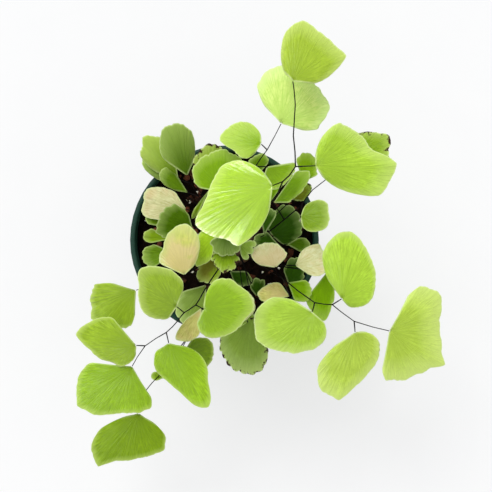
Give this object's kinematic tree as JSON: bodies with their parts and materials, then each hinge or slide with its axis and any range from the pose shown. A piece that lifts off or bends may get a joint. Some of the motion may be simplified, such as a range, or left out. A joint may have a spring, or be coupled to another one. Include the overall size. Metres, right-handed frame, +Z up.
{
  "type": "potted fern",
  "caption": "Silver-dollar maidenhair fern with broad fan-shaped leaflets on thin dark wiry stems, growing in a round dark green plastic nursery pot of soil.",
  "frame": {"origin": "centre of the pot's foot, on the surface that it stands on", "axes": "+Z up; from above, +X to the right and +Y to the top of the view, where the tallest frond leans"},
  "size_m": [0.2027, 0.2342, 0.1757],
  "materials": {
    "pot_plastic": "satin",
    "potting_mix": "matte",
    "rhizome": "matte",
    "stem": "satin",
    "leaf_bright": "satin",
    "leaf_green": "satin",
    "leaf_dark": "satin",
    "leaf_pale": "satin",
    "leaf_fading": "matte",
    "leaf_dry": "matte"
  },
  "bodies": {
    "root": {"pot": "pot_plastic", "potting_soil": "potting_mix", "rhizome": "rhizome", "frond_a_stem": "stem", "frond_b_stem": "stem", "frond_c_stem": "stem", "frond_d_stem": "stem", "frond_e_stem": "stem", "frond_f_stem": "stem", "frond_g_stem": "stem", "frond_h_stem": "stem", "frond_i_stem": "stem", "frond_j_stem": "stem", "frond_k_stem": "stem", "frond_l_stem": "stem", "frond_m_stem": "stem", "dry_leaflet_1": "leaf_dry", "dry_leaflet_2": "leaf_dry", "dry_leaflet_3": "leaf_dry", "dry_leaflet_4": "leaf_dry", "dry_leaflet_5": "leaf_dry", "frond_a_leaflet_1": "leaf_green", "frond_a_leaflet_2": "leaf_green", "frond_a_leaflet_3": "leaf_green", "frond_a_leaflet_4": "leaf_green", "frond_a_leaflet_5": "leaf_green", "frond_b_leaflet_1": "leaf_dark", "frond_b_leaflet_2": "leaf_dark", "frond_b_leaflet_3": "leaf_green", "frond_c_leaflet_1": "leaf_bright", "frond_c_leaflet_2": "leaf_bright", "frond_c_leaflet_3": "leaf_green", "frond_c_leaflet_4": "leaf_bright", "frond_d_leaflet_1": "leaf_bright", "frond_d_leaflet_2": "leaf_bright", "frond_d_leaflet_3": "leaf_bright", "frond_e_leaflet_1": "leaf_pale", "frond_e_leaflet_2": "leaf_green", "frond_e_leaflet_3": "leaf_dark", "frond_f_leaflet_1": "leaf_green", "frond_f_leaflet_2": "leaf_green", "frond_f_leaflet_3": "leaf_green", "frond_f_leaflet_4": "leaf_dark", "frond_g_leaflet_1": "leaf_green", "frond_g_leaflet_2": "leaf_green", "frond_g_leaflet_3": "leaf_green", "frond_h_leaflet_1": "leaf_dark", "frond_h_leaflet_2": "leaf_fading", "frond_i_leaflet_1": "leaf_green", "frond_i_leaflet_2": "leaf_dark", "frond_i_leaflet_3": "leaf_dark", "frond_j_leaflet_1": "leaf_dark", "frond_k_leaflet_1": "leaf_green", "frond_k_leaflet_2": "leaf_green", "frond_k_leaflet_3": "leaf_green", "frond_k_leaflet_4": "leaf_green", "frond_l_leaflet_1": "leaf_dark", "frond_m_leaflet_1": "leaf_dark", "frond_m_leaflet_2": "leaf_green", "frond_m_leaflet_3": "leaf_dark"}
  },
  "joints": []
}
